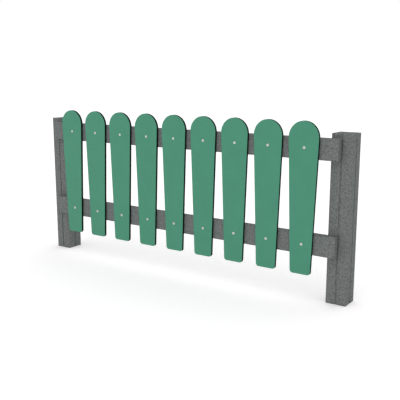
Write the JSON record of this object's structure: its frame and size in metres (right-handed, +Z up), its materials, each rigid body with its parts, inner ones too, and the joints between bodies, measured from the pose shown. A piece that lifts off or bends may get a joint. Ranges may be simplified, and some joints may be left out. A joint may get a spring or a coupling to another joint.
{
  "type": "picket fence panel",
  "caption": "Low playground fence panel: round-headed tapering green pickets screwed to two flat grey rails that lie on the front faces of two grooved square posts.",
  "frame": {"origin": "centre of the left post's foot, at ground level", "axes": "+X along the fence towards the right post, -Y towards the front where the pickets are, +Z up"},
  "size_m": [1.9, 0.153, 0.854],
  "materials": {
    "recycled_plastic": "mottled grey recycled plastic, dull, with a fine grain and sawn ends",
    "green_laminate": "green compact laminate with a satin face and a near-black core at the cut edges",
    "stainless_steel": "bright stainless steel screw heads"
  },
  "bodies": {
    "root": {"left_post": "recycled_plastic", "right_post": "recycled_plastic", "top_rail": "recycled_plastic", "bottom_rail": "recycled_plastic", "picket_1": "green_laminate", "picket_2": "green_laminate", "picket_3": "green_laminate", "picket_4": "green_laminate", "picket_5": "green_laminate", "picket_6": "green_laminate", "picket_7": "green_laminate", "picket_8": "green_laminate", "picket_9": "green_laminate"}
  },
  "joints": []
}
